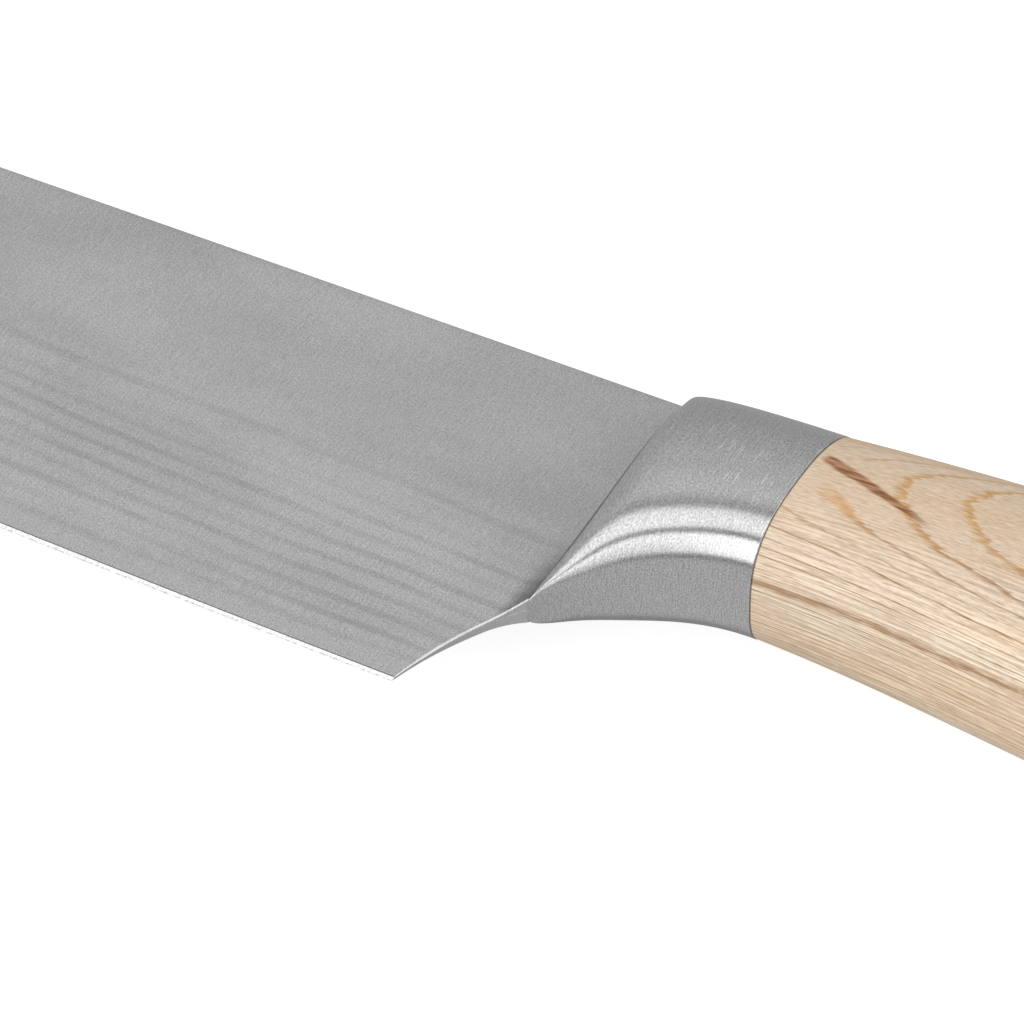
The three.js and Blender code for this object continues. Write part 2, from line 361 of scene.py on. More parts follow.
# %% Blade core
core_rows = np.linspace(0, 1, 7)
bevel_top = np.maximum(blade_low + ease_rise, edge_height(blade_x) + bevel_height)
bevel_top = np.minimum(bevel_top, weld_low - 10 * sliver)
core_y = np.concatenate([
    blade_low, bevel_top + core_rows * (weld_low - bevel_top), blade_high], 1)
core_z = np.minimum(face_half(blade_x, core_y), weld_half(blade_x))
core_z[:, -1] = weld_half(blade_x)[:, 0]
core_z = np.maximum(core_z, sliver)
both_y = np.concatenate([core_y, core_y[:, ::-1]], 1)
both_z = np.concatenate([core_z, -core_z[:, ::-1]], 1)
core = skin("hard_core", *with_tang(both_y, both_z, outer=np.False_), crease=8.0)

# %% Claddings
face_rows = np.linspace(0, 1, 41)
foot = np.maximum(np.where(blade_x > 0, blade_low + ease_rise, weld_low), weld_low + 10 * sliver)
crown = blade_high - back_round
outer_y = np.concatenate([
    weld_low, foot + face_rows * (crown - foot), crown + back_round * np.sin(quarter[None, 5::5])], 1)
outer_z = np.maximum(face_half(blade_x, outer_y), weld_half(blade_x) + sliver)
inner_z = weld_half(blade_x)
clad_y = np.concatenate([weld_low, outer_y, blade_high], 1)
clad_z = np.concatenate([inner_z, outer_z, inner_z], 1)
is_outer = np.ones(clad_y.shape[1], bool)
is_outer[[0, -1]] = False
left_rings, left_lay = with_tang(clad_y, clad_z, is_outer)
left_cladding = skin("left_layers", left_rings, left_lay, crease=8.0)
mirror = np.array([1, 1, -1])
right_cladding = skin("right_layers", left_rings[:, ::-1] * mirror, left_lay[:, ::-1], crease=8.0)

# %% [markdown]
# ## The bolster
# The bolster is one piece of steel, welded behind the blade and ground to a blunt nose: barely thicker
# than the blade in front, it soon swells to the grip. Its sections are superellipses, curves between
# an ellipse and a rectangle, with a squarer lower half. A lofted nurbs surface could do this too, but
# a formula for each section keeps the finger curve and the seam exact. The tang's slot runs through it.

# %% Grip sections
grip_sides = 320
grip_turn = np.linspace(0, 2 * math.pi, grip_sides + 1)
lay_radius = 10 * MM
widest_share = 0.44
seam_square = (2.12, 2.8)


def grip_section(x, half, top, under, top_square, under_square):
    """Rings of a grip: half a superellipse above the widest line and half of another one below.

    A point lies at each turn in the unit circle, pushed out until the powers of its two shares add up to one.
    """
    across = np.cos(grip_turn[:-1])
    along = np.sin(grip_turn[:-1])
    square = np.where(along >= 0, top_square, under_square)
    reach = (np.abs(across) ** square + np.abs(along) ** square) ** (-1 / square)
    widest = under + widest_share * (top - under)
    height = np.where(along >= 0, top - widest, widest - under)
    y = widest + height * reach * along
    return np.stack(np.broadcast_arrays(x, y, half * reach * across), -1)


def box_section(x, half, top, under):
    """Rings of a rectangular hole, with as many sides as a grip's ring."""
    across = np.cos(grip_turn[:-1])
    along = np.sin(grip_turn[:-1])
    reach = 1 / np.maximum(np.abs(across), np.abs(along))
    y = (top + under) / 2 + (top - under) / 2 * reach * along
    return np.stack(np.broadcast_arrays(x, y, half * reach * across), -1)


def ease(share):
    """A smooth step from 0 to 1, level at both ends."""
    share = np.clip(share, 0, 1)
    return share * share * (3 - 2 * share)


def round_lay(rings):
    """The map's u on a grip: the turn round it, as a length on a circle of one set radius."""
    return np.broadcast_to(grip_turn * lay_radius, (len(rings), grip_sides + 1))


print(f"{grip_sides} sides to each ring of a grip")

# %% Bolster sections
square_fade = 12.0
front_square = (4.0, 22.0)
front_round = 0.3 * MM
top_round = 0.9 * MM
seam_round = 0.1 * MM

bolster_x = np.concatenate([
    shoulder + front_round * (1 - np.cos(quarter[::4]))[:-1],
    np.linspace(front_round, top_round, 7)[:-1] + shoulder,
    shoulder + top_round + (seam - seam_round - shoulder - top_round) * np.linspace(0, 1, 101) ** 1.5,
    seam - seam_round * (1 - np.sin(quarter[8::8])),
])[:, None]
from_front = bolster_x - shoulder
bolster_share = from_front / (seam - shoulder)
square_share = (1 - bolster_share) ** square_fade
seam_inset = rounded_inset(seam_round, seam - bolster_x)
bolster_rings = grip_section(
    bolster_x,
    np.ones_like(bolster_x),
    grip_top - rounded_inset(top_round, from_front) - seam_inset,
    finger_height(bolster_x) + seam_inset,
    *(rear * (front / rear) ** square_share for rear, front in zip(seam_square, front_square)))
print(f"{len(bolster_x)} sections along the bolster")

# %% Bolster
front_half = 1.6 * MM
seam_half = 8.5 * MM
taper = 0.8 * MM
under_fullness = 4.8
side_fullness = 11.2
back_fullness = 8.5
blunt_share = 0.7
least_round = 0.4
whole_round_above = 6.0 * MM
slot_clearance = 0.1 * MM

front_under = finger_height(shoulder)
height_share = (bolster_rings[..., 1] - front_under) / (grip_top - front_under)
fullness = under_fullness + (side_fullness - under_fullness) * ease(height_share / blunt_share)
fullness += (back_fullness - side_fullness) * ease((height_share - blunt_share) / (1 - blunt_share))
grip_half = seam_half - taper * (1 - bolster_share)
nose_half = grip_half + (front_half - grip_half) * (1 - bolster_share) ** fullness
above_finger = bolster_rings[..., 1] - finger_height(bolster_x)
round_share = least_round + (1 - least_round) * ease(above_finger / whole_round_above)
front_inset = rounded_inset(front_round, from_front) * round_share
bolster_rings[..., 2] *= nose_half - front_inset - seam_inset
corner = np.maximum(choil_ease(bolster_x) - from_choil(bolster_x, bolster_rings[..., 1]), 0)
bolster_rings[..., 2] -= np.sign(bolster_rings[..., 2]) * np.minimum(corner, np.abs(bolster_rings[..., 2]))
slot_rings = box_section(
    np.array([[seam], [shoulder]]), blade_half + slot_clearance,
    tang_top + slot_clearance, tang_under - slot_clearance)
bolster_rings = np.concatenate([bolster_rings, slot_rings])
bolster = skin("bolster_steel_body", bolster_rings, round_lay(bolster_rings), through=True, crease=35.0)

# %% [markdown]
# ## The handle
# The handle is one stick of pale wood, shaped and sanded to the same kind of section as the bolster's
# seam. It swells under the palm, thins towards the butt and ends in a soft round. Its front edge is
# eased into a fine groove beside the steel, and the groove's shade is painted into the wood's colour. A blind
# socket inside takes the tang.

# %% Handle
swell_place = 55.0 * MM
waist_place = 84.0 * MM
swell_half = handle_high[2] - heel[2]
wood_step = 0.06 * MM
butt_half = 9.7 * MM - wood_step
swell_rise = 2.6 * MM
swell_drop = 4.4 * MM
waist_drop = 3.5 * MM
butt_drop = 5.2 * MM
butt_round = 6.0 * MM
wood_round = 0.1 * MM
bedding = 0.8 * MM
handle_length = butt - seam


def belly_drop(along):
    """The belly's drop below the seam: to the palm swell, back up to the waist, down again to the butt."""
    to_swell = swell_drop * ease(along / swell_place)
    to_waist = (waist_drop - swell_drop) * ease((along - swell_place) / (waist_place - swell_place))
    to_butt = (butt_drop - waist_drop) * ease((along - waist_place) / (handle_length - waist_place))
    return to_swell + to_waist + to_butt


def wood_half(along):
    """Half the wood's thickness: a parabola up to the palm swell, then a smooth step down to the butt."""
    short = np.clip(1 - along / swell_place, 0, 1) ** 2
    rear = ease((along - swell_place) / (handle_length - swell_place))
    return swell_half + (seam_half - wood_step - swell_half) * short + (butt_half - swell_half) * rear


handle_along = np.concatenate([
    wood_round * (1 - np.cos(quarter[::5]))[:-1],
    np.linspace(wood_round, handle_length - butt_round, 141)[:-1],
    handle_length - butt_round + butt_round * np.sin(quarter),
])[:, None]
handle_inset = rounded_inset(butt_round, handle_length - handle_along)
handle_inset += rounded_inset(wood_round, handle_along)
arch = swell_rise * (1 - (1 - handle_along / swell_place) ** 2)
handle_rings = grip_section(
    seam + handle_along,
    wood_half(handle_along) - handle_inset,
    grip_top - wood_step + arch - handle_inset,
    grip_under + wood_step - belly_drop(handle_along) + handle_inset,
    *seam_square)
socket_rings = box_section(
    np.array([[tang_end + bedding], [seam]]), blade_half + bedding, tang_top + bedding, tang_under - bedding)
handle_rings = np.concatenate([socket_rings, handle_rings])
handle = skin("handle_wood", handle_rings, round_lay(handle_rings), crease=35.0)

# %% [markdown]
# ## Building materials from nodes
# The finishes are made of shader nodes. A small helper adds one node at a time: its inputs are
# either numbers, set on the socket itself, or links from another node's output.

# %% Node helper
def new_finish(name):
    """A new material with only a Principled shader, and its node tree."""
    finish = bpy.data.materials.new(name)
    finish.use_nodes = True
    return finish, finish.node_tree, finish.node_tree.nodes["Principled BSDF"]


def add(tree, kind, inputs=(), **settings):
    """Adds one node, sets its options and inputs, and returns its first output."""
    made = tree.nodes.new(kind)
    for name, value in settings.items():
        setattr(made, name, value)
    for key, value in dict(inputs).items():
        if isinstance(value, bpy.types.NodeSocket):
            tree.links.new(value, made.inputs[key])
        else:
            made.inputs[key].default_value = value
    return made.outputs[0]


def calc(tree, operation, first, second=0.0, third=0.0):
    """One arithmetic step."""
    return add(tree, "ShaderNodeMath", {0: first, 1: second, 2: third}, operation=operation)


def blend_range(tree, value, low, high, to_low=0.0, to_high=1.0):
    """A smooth step of value from low to high, spread between two results."""
    return add(tree, "ShaderNodeMapRange", {
        "Value": value, "From Min": low, "From Max": high, "To Min": to_low, "To Max": to_high,
    }, interpolation_type="SMOOTHSTEP")


def mix_colour(tree, share, first, second):
    """A colour between two others."""
    made = tree.nodes.new("ShaderNodeMix")
    made.data_type = "RGBA"
    for socket, value in zip((made.inputs[0], made.inputs[6], made.inputs[7]), (share, first, second)):
        if isinstance(value, bpy.types.NodeSocket):
            tree.links.new(value, socket)
        else:
            socket.default_value = value
    return made.outputs[2]


def stretched_noise(tree, place, scale, detail=2.0, offset=(0, 0, 0)):
    """Noise whose grain is drawn out: scale gives the grains in each metre along each axis."""
    at = add(tree, "ShaderNodeMapping", {"Vector": place, "Scale": scale, "Location": offset})
    return add(tree, "ShaderNodeTexNoise", {"Vector": at, "Scale": 1.0, "Detail": detail})


# %% [markdown]
# ## Brushed steel
# A belt leaves fine scratches that all run round the knife. They smear a reflection across the scratches
# only, so the shader is anisotropic. Its tangent follows the map round the section, along the scratches,
# and a quarter turn then points the smear across them. On top, noise drawn out along the scratches makes
# single hairlines lighter, darker and rougher.

# %% Brushed steel
def facing_along(tree):
    """How far the surface faces along the knife: 1 towards the butt, -1 towards the nose."""
    facing = add(tree, "ShaderNodeTexCoord").node.outputs["Normal"]
    return add(tree, "ShaderNodeSeparateXYZ", {0: facing})


def brushed_steel(name, grey, roughness, anisotropy, hairline, relief, shade, even_from=2.0):
    """A satin metal with hairlines across the knife: relief is their depth, shade a pattern laid over them.

    Where the surface faces along the knife by more than even_from, the hairlines are polished away.
    """
    finish, tree, shader = new_finish(name)
    lay = add(tree, "ShaderNodeUVMap", uv_map=GRAIN_MAP)
    fine = stretched_noise(tree, lay, (600, 9500, 1), 2.0)
    broad = stretched_noise(tree, lay, (110, 3000, 1), 2.0, (3.1, 0.7, 0))
    speck = stretched_noise(tree, lay, (4200, 8000, 1), 1.0, (7.7, 2.3, 0))
    hairs = calc(tree, "MULTIPLY_ADD", fine, 0.3, calc(tree, "MULTIPLY", broad, 0.1))
    hairs = calc(tree, "MULTIPLY_ADD", speck, 0.6, hairs)
    brushed = blend_range(tree, facing_along(tree), even_from + 0.2, even_from, 0.25, 1.0)
    light = calc(tree, "MULTIPLY_ADD", blend_range(tree, hairs, 0.3, 0.7, -hairline, hairline), brushed, 1.0)
    light = calc(tree, "MULTIPLY", light, shade(tree))
    grey_of = calc(tree, "MULTIPLY", light, grey)
    tree.links.new(add(tree, "ShaderNodeCombineColor", {0: grey_of, 1: grey_of, 2: grey_of}),
                   shader.inputs["Base Color"])
    tree.links.new(blend_range(tree, broad, 0.3, 0.7, roughness - 0.03, roughness + 0.03),
                   shader.inputs["Roughness"])
    bump = add(tree, "ShaderNodeBump", {"Height": hairs, "Strength": relief, "Distance": 0.02 * MM})
    tree.links.new(bump, shader.inputs["Normal"])
    shader.inputs["Metallic"].default_value = 1.0
    shader.inputs["Anisotropic"].default_value = anisotropy
    shader.inputs["Anisotropic Rotation"].default_value = 0.25
    tangent = add(tree, "ShaderNodeTangent", direction_type="UV_MAP", uv_map=GRAIN_MAP)
    tree.links.new(tangent, shader.inputs["Tangent"])
    return finish


# %% [markdown]
# ## Layered steel
# The claddings are welded from many thin sheets. Grinding the wedge cuts through them at a shallow
# angle, so the sheets come out as a row of soft bands along the blade, and the weld to the core as a darker
# one near the edge. The height above the edge picks the sheet, so the bands follow the edge's curve.
# The last sheet ends in one faint line near the grind line. On the flat half the depth hardly changes, and
# only cloudy patches are left. The plunge is darkened with painted shade, and the choil is even grey.

# %% Heights above the edge
grind_slope = (blade_half - bevel_half) / (grind_height - bevel_height)
weld_height = bevel_height + (core_half - bevel_half) / grind_slope
print(f"on the ground face the weld lies {weld_height / MM:.1f} mm above the edge")


def from_heel(tree):
    """Object coordinates counted from the heel, as three outputs."""
    place = add(tree, "ShaderNodeTexCoord").node.outputs["Object"]
    at = add(tree, "ShaderNodeMapping", {"Vector": place, "Location": tuple(-heel)})
    return add(tree, "ShaderNodeSeparateXYZ", {0: at}).node.outputs


def above_edge(tree):
    """Place along the knife, and height above the cutting edge: the edge's own formula, in nodes."""
    x, y, _ = from_heel(tree)
    share = calc(tree, "DIVIDE", x, float(nose))
    climb = calc(tree, "MULTIPLY_ADD", share, 4 * edge_belly, edge_rise - 4 * edge_belly)
    return x, calc(tree, "SUBTRACT", y, calc(tree, "MULTIPLY", share, climb))


def weld_shade(tree, x, above):
    """Darkness of the weld between core and cladding, on the same two waves as the welded layers."""
    wave = 0.0
    for depth, length, start in weld_waves:
        swing = calc(tree, "SINE", calc(tree, "MULTIPLY_ADD", x, 1 / length, start))
        wave = calc(tree, "MULTIPLY_ADD", swing, depth, wave)
    height = calc(tree, "MULTIPLY_ADD", wave, core_half / grind_slope, weld_height)
    away = calc(tree, "ABSOLUTE", calc(tree, "SUBTRACT", above, height))
    broken = stretched_noise(tree, add(tree, "ShaderNodeCombineXYZ", {0: x, 1: above}), (90, 300, 1), 3.0)
    return calc(tree, "MULTIPLY", blend_range(tree, away, 0.75 * MM, 0.1 * MM),
                blend_range(tree, broken, 0.3, 0.65, 0.02, 0.10))


# %% Bands of the claddings
sheet_spacing = 2.2 * MM
first_sheet = 4.8 * MM
sheet_tilt = 0.025
sheet_waver = 2.2 * MM
sheet_depths = (0.05, 0.17)
last_sheet = 23.9 * MM
last_tilt = 0.016
last_waver = 3.0 * MM
last_strength = 0.9
cloud_levels = (0.925, 1.06)
painted_plunge_shade = 0.5
choil_level = 1.12


def even_choil(tree, light):
    """Brightness with the choil left out of the pattern: it faces the butt and is one even grey."""
    choil = blend_range(tree, facing_along(tree), 0.62, 0.72)
    return calc(tree, "MULTIPLY_ADD", choil, calc(tree, "SUBTRACT", choil_level, light), light)


def layer_bands(tree):
    """Brightness of the claddings: a wavering row of soft dark bands, one faint last line, cloudy patches."""
    x, above = above_edge(tree)
    flat = add(tree, "ShaderNodeCombineXYZ", {0: x, 1: above})
    waver = stretched_noise(tree, flat, (45, 70, 1), 2.0)
    height = calc(tree, "MULTIPLY_ADD", x, sheet_tilt, above)
    height = calc(tree, "MULTIPLY_ADD", calc(tree, "SUBTRACT", waver, 0.5), sheet_waver, height)
    past_first = calc(tree, "SUBTRACT", height, first_sheet)
    wave = calc(tree, "COSINE", calc(tree, "MULTIPLY", past_first, 2 * math.pi / sheet_spacing))
    broken = stretched_noise(tree, flat, (60, 420, 1), 3.0, (2.0, 5.0, 1.0))
    depth = blend_range(tree, broken, 0.3, 0.7, *sheet_depths)
    ground = blend_range(tree, above, 0.98 * grind_height, 0.6 * grind_height)
    ground = calc(tree, "MULTIPLY", ground, blend_range(tree, past_first, -0.8 * MM, -0.4 * MM))
    band = calc(tree, "MULTIPLY", blend_range(tree, wave, -0.1, 0.95), calc(tree, "MULTIPLY", depth, ground))
    from_last = calc(tree, "SUBTRACT", calc(tree, "MULTIPLY_ADD", x, last_tilt, above), last_sheet)
    from_last = calc(tree, "MULTIPLY_ADD", calc(tree, "SUBTRACT", waver, 0.5), last_waver, from_last)
    last = blend_range(tree, calc(tree, "ABSOLUTE", from_last), 0.9 * MM, 0.2 * MM)
    band = calc(tree, "MULTIPLY_ADD", last, calc(tree, "MULTIPLY", depth, last_strength), band)
    clouds = stretched_noise(tree, flat, (35, 80, 1), 3.0, (1.3, 4.2, 0))
    light = calc(tree, "SUBTRACT", blend_range(tree, clouds, 0.3, 0.7, *cloud_levels), band)
    light = calc(tree, "SUBTRACT", light, weld_shade(tree, x, above))
    # Painted shade: in the plunge, where the cladding turns to face the nose, its colour is darkened.
    plunge = blend_range(tree, facing_along(tree), -0.02, -0.45, 1.0, painted_plunge_shade)
    light = calc(tree, "MULTIPLY", light, plunge)
    return even_choil(tree, light)


# %% Painted bevel highlight and worn edge
painted_bevel_highlight = 1.5
painted_dark_reflection_level = 0.4
worn_level = 0.6


def painted_bevel_light_and_wear(tree):
    """Core brightness: a painted highlight on the bevel, a painted dark reflection above it, a worn edge
    line.
    """
    x, above = above_edge(tree)
    # Painted highlight: the bevel's colour is brightened so that it shows white.
    bevel_highlight = blend_range(tree, above, bevel_height, 0.96 * bevel_height, 1.0, painted_bevel_highlight)
    # Painted dark reflection: a fine line just above the bevel is darkened in the colour.
    from_line = calc(tree, "ABSOLUTE", calc(tree, "SUBTRACT", above, bevel_height + 0.05 * MM))
    line = blend_range(tree, from_line, 0.09 * MM, 0.05 * MM, 1.0, painted_dark_reflection_level)
    along = add(tree, "ShaderNodeCombineXYZ", {0: x})
    worn = blend_range(tree, stretched_noise(tree, along, (1500, 1, 1), 3.0), 0.4, 0.6, 1.0, worn_level)
    worn_edge = add(tree, "ShaderNodeMix", {
        "Factor": blend_range(tree, above, 0.16 * MM, 0.08 * MM), "A": 1.0, "B": worn})
    light = calc(tree, "SUBTRACT", calc(tree, "MULTIPLY", bevel_highlight, line), weld_shade(tree, x, above))
    return even_choil(tree, calc(tree, "MULTIPLY", light, worn_edge))


# %% [markdown]
# ## Bolster finish
# The bolster is brushed like the blade, with a few scratches on its side whose glints are painted in
# lighter. Along its eased front edge a hair-thin dark line of painted shade lies beside the blade. The way
# the surface faces tells that edge from the rest, so the line ends where the edge runs out underneath.

# %% Bolster finish
painted_front_shade_level = 0.25
glint_height = 37.0 * MM
painted_glint_gain = 1.1


def painted_front_shade_and_glints(tree):
    """Brightness of the bolster: painted shade where it faces the nose, painted glints on sparse scratches of
    its side.
    """
    # Painted shade: where the front edge turns to face the nose, the colour is darkened to a thin line.
    dark = blend_range(tree, facing_along(tree), -0.78, -0.86, 1.0, painted_front_shade_level)
    lay = add(tree, "ShaderNodeUVMap", uv_map=GRAIN_MAP)
    # Painted glints: sparse scratches on the side are made lighter in the colour.
    scratch_glint = stretched_noise(tree, lay, (420, 8000, 1), 0.0, (1.9, 6.1, 0))
    side = calc(tree, "ABSOLUTE", calc(tree, "SUBTRACT", from_heel(tree)[1], glint_height))
    beside = blend_range(tree, side, 8 * MM, 3 * MM)
    scratch_glint = calc(tree, "MULTIPLY", blend_range(tree, scratch_glint, 0.71, 0.80), beside)
    return calc(tree, "MULTIPLY", dark, calc(tree, "MULTIPLY_ADD", scratch_glint, painted_glint_gain, 1.0))


core_steel = brushed_steel(
    "core_steel", grey=0.62, roughness=0.38, anisotropy=0.9, hairline=0.28, relief=0.2,
    shade=painted_bevel_light_and_wear, even_from=0.35)
layered_steel = brushed_steel(
    "layered_steel", grey=0.62, roughness=0.38, anisotropy=0.9, hairline=0.3, relief=0.2,
    shade=layer_bands, even_from=0.35)
bolster_steel = brushed_steel(
    "bolster_steel", grey=0.62, roughness=0.34, anisotropy=0.97, hairline=0.36, relief=0.5,
    shade=painted_front_shade_and_glints)
print("steel finishes:", core_steel.name, layered_steel.name, bolster_steel.name)

# %% [markdown]
# ## Pale wood
# The grain of real wood is solid: each year's growth is a sleeve round the tree's pith, and the surface
# shows where it cuts the sleeves. So the pattern reads the distance from a pith far below the handle.
# Where the handle's side is level with the sleeves the lines open into long flames with jagged borders,
# and lower down, where it cuts them squarely, they crowd together. Nothing has to be painted on for that.
# Only four things are set in their places: the mineral streak, the warm patch below it, a quiet area
# round both, and one dark year's band on the lower side.

# %% Sleeves of growth
ring_width = 0.57 * MM
first_ring = 0.02
pith = heel + np.array([0, 39.73, -60.0]) * MM
pith_lean = (-0.2345, -0.0058)


def sleeve_number(tree, place):
    """Number of the growth sleeve at a place: the wavering distance from the leaning pith, in ring widths."""
    warp = add(tree, "ShaderNodeTexNoise", {
        "Vector": add(tree, "ShaderNodeMapping", {"Vector": place, "Scale": (26, 110, 110)}),
        "Scale": 1.0, "Detail": 3.0}).node.outputs["Color"]
    shift = add(tree, "ShaderNodeVectorMath", {0: warp, 1: (0.5, 0.5, 0.5)}, operation="SUBTRACT")
    shift = add(tree, "ShaderNodeVectorMath", {0: shift, 1: (0.0, 0.8 * MM, 0.5 * MM)}, operation="MULTIPLY")
    moved = add(tree, "ShaderNodeVectorMath", {0: place, 1: shift}, operation="ADD")
    from_pith = add(tree, "ShaderNodeVectorMath", {0: moved, 1: tuple(pith)}, operation="SUBTRACT")
    parts = add(tree, "ShaderNodeSeparateXYZ", {0: from_pith}).node.outputs
    flat = add(tree, "ShaderNodeCombineXYZ", {
        1: calc(tree, "MULTIPLY_ADD", parts[0], -pith_lean[0], parts[1]),
        2: calc(tree, "MULTIPLY_ADD", parts[0], -pith_lean[1], parts[2])})
    distance = add(tree, "ShaderNodeVectorMath", {0: flat}, operation="LENGTH").node.outputs["Value"]
    return calc(tree, "MULTIPLY_ADD", distance, 1 / ring_width, first_ring)


# %% Patches
def soft_patch(tree, place, middle, turn, size, taper=0.0, fray=0.9, whole_from=-0.93):
    """Strength of a long patch with frayed sides: it is whole from a share of its length and then tapers.

    The middle, counted from the heel, and the half size are in millimetres, and turn leans it by degrees.
    """
    at = add(tree, "ShaderNodeMapping", {
        "Vector": place,
        "Location": tuple(heel + np.array(middle) * MM),
        "Rotation": (0, 0, math.radians(turn)),
        "Scale": tuple(np.array(size) * MM)}, vector_type="TEXTURE")
    parts = add(tree, "ShaderNodeSeparateXYZ", {0: at}).node.outputs
    frayed = stretched_noise(tree, place, (120, 1500, 1500), 2.0)
    wide = blend_range(tree, parts[0], -1.0, 1.0, 1.0, 1.0 - taper)
    across = calc(tree, "DIVIDE", calc(tree, "ABSOLUTE", parts[1]), wide)
    across = calc(tree, "ADD", across, calc(tree, "MULTIPLY_ADD", frayed, fray, -fray / 2))
    narrow = blend_range(tree, across, 1.0, 0.4)
    start = blend_range(tree, parts[0], -1.05, whole_from)
    end = blend_range(tree, parts[0], 1.05, 0.5)
    near = blend_range(tree, calc(tree, "ABSOLUTE", parts[2]), 1.0, 0.9)
    return calc(tree, "MULTIPLY", calc(tree, "MULTIPLY", narrow, start), calc(tree, "MULTIPLY", end, near))


# %% Year lines
growth_seed = 3391.0
jag_rings = 0.4
quiet_share = 0.85


def year_lines(tree, place):
    """Strength of the year lines, and the dashes along the grain that break them up.

    A line fills the end of each sleeve. Every year draws its own vigour: a strong line starts sooner.
    """
    jagged = stretched_noise(tree, place, (150, 1800, 1800), 2.0, (6, 3, 8))
    jagged = calc(tree, "SUBTRACT", jagged, 0.5)
    years = calc(tree, "MULTIPLY_ADD", jagged, jag_rings, sleeve_number(tree, place))
    season = calc(tree, "FRACT", years)
    year = calc(tree, "ADD", calc(tree, "FLOOR", years), growth_seed)
    vigour = add(tree, "ShaderNodeTexWhiteNoise", {"W": year}, noise_dimensions="1D").node.outputs["Value"]
    start = blend_range(tree, vigour, 0.3, 1.0, 0.80, 0.70)
    rise = blend_range(tree, season, start, 0.9)
    line = calc(tree, "MULTIPLY", rise, blend_range(tree, season, 0.99, 0.92))
    line = calc(tree, "MULTIPLY", line, blend_range(tree, vigour, 0.0, 1.0, 0.5, 1.0))
    dashes = stretched_noise(tree, place, (190, 3600, 3600), 2.0, (3, 1, 4))
    line = calc(tree, "MULTIPLY", line, blend_range(tree, dashes, 0.3, 0.62, 0.6, 1.0))
    quiet = soft_patch(
        tree, place, middle=(28.0, 39.0, 8.0), turn=-12.0, size=(6.5, 5.0, 8.0), fray=0.3)
    return calc(tree, "MULTIPLY", line, calc(tree, "MULTIPLY_ADD", quiet, -quiet_share, 1.0)), dashes


# %% Dark year and streaks
dark_year_turn = math.radians(290.5) * lay_radius
dark_year_waver = 1.2 * MM
patch_share = 0.6
patch_tone = (0.62, 0.36, 0.15, 1)
mineral_tones = ((0.40, 0.19, 0.08, 1), (0.23, 0.085, 0.03, 1))


def dark_year(tree, lay, dashes):
    """Strength of one dark year's band, which keeps its turn round the handle and wavers along it."""
    round_at, along_at, _ = add(tree, "ShaderNodeSeparateXYZ", {0: lay}).node.outputs
    waver = stretched_noise(tree, add(tree, "ShaderNodeCombineXYZ", {0: along_at}), (60, 1, 1), 2.0)
    away = calc(tree, "SUBTRACT", round_at, dark_year_turn + dark_year_waver / 2)
    away = calc(tree, "ABSOLUTE", calc(tree, "MULTIPLY_ADD", waver, dark_year_waver, away))
    broken = blend_range(tree, dashes, 0.3, 0.62, 0.25, 0.8)
    return calc(tree, "MULTIPLY", blend_range(tree, away, 0.75 * MM, 0.2 * MM), broken)


def streaked(tree, place, dashes, tone):
    """A tone with the warm patch on it and then the mineral streak, which differs from fibre to fibre."""
    patch = soft_patch(
        tree, place, middle=(30.6, 35.0, 8.6), turn=-27.0, size=(4.0, 1.5, 6.0),
        taper=0.5, fray=1.6, whole_from=0.0)
    tone = mix_colour(tree, calc(tree, "MULTIPLY", patch, patch_share), tone, patch_tone)
    streak = soft_patch(
        tree, place, middle=(33.6, 37.95, 8.8), turn=-21.5, size=(7.7, 0.95, 6.0), taper=0.45, fray=0.8)
    streak = calc(tree, "MULTIPLY", streak, blend_range(tree, dashes, 0.3, 0.6, 0.72, 0.97))
    mineral = mix_colour(tree, blend_range(tree, dashes, 0.35, 0.6), *mineral_tones)
    return mix_colour(tree, streak, tone, mineral)


# %% Fibres and pores
def fibres_and_pores(tree, lay, height, flame):
    """Fibres along the grain, strongest on the lower side and weak in the flames, and dark pores."""
    long_fibres = stretched_noise(tree, lay, (5500, 110, 1), 3.0)
    short_fibres = stretched_noise(tree, lay, (8500, 900, 1), 2.0, (2, 4, 0))
    lined = blend_range(tree, height, 22 * MM, 30 * MM, 1.6, 1.15)
    lined = calc(tree, "MULTIPLY", lined, blend_range(tree, flame, 0.0, 1.0, 1.0, 0.26))
    fibres = calc(tree, "MULTIPLY_ADD", calc(tree, "SUBTRACT", long_fibres, 0.5), lined, 0.5)
    fibres = calc(tree, "MULTIPLY_ADD", calc(tree, "SUBTRACT", short_fibres, 0.5), 0.55, fibres)
    pores = stretched_noise(tree, lay, (8000, 500, 1), 1.0, (5, 2, 1))
    return fibres, blend_range(tree, pores, 0.36, 0.27)


# %% Pale wood
pale_tones_painted_light = ((0.785, 0.665, 0.525, 1), (0.675, 0.555, 0.437, 1))
honey_tones_painted_light = ((0.755, 0.587, 0.42, 1), (0.66, 0.51, 0.365, 1))
line_tones = ((0.34, 0.19, 0.09, 1), (0.55, 0.32, 0.13, 1))
dark_year_tone = (0.36, 0.20, 0.10, 1)
pore_tone = (0.40, 0.26, 0.15, 1)
pore_share = 0.45
fibre_tones = ((0.80, 0.745, 0.68, 1), (1.16, 1.17, 1.18, 1))
painted_groove_shade = 0.3


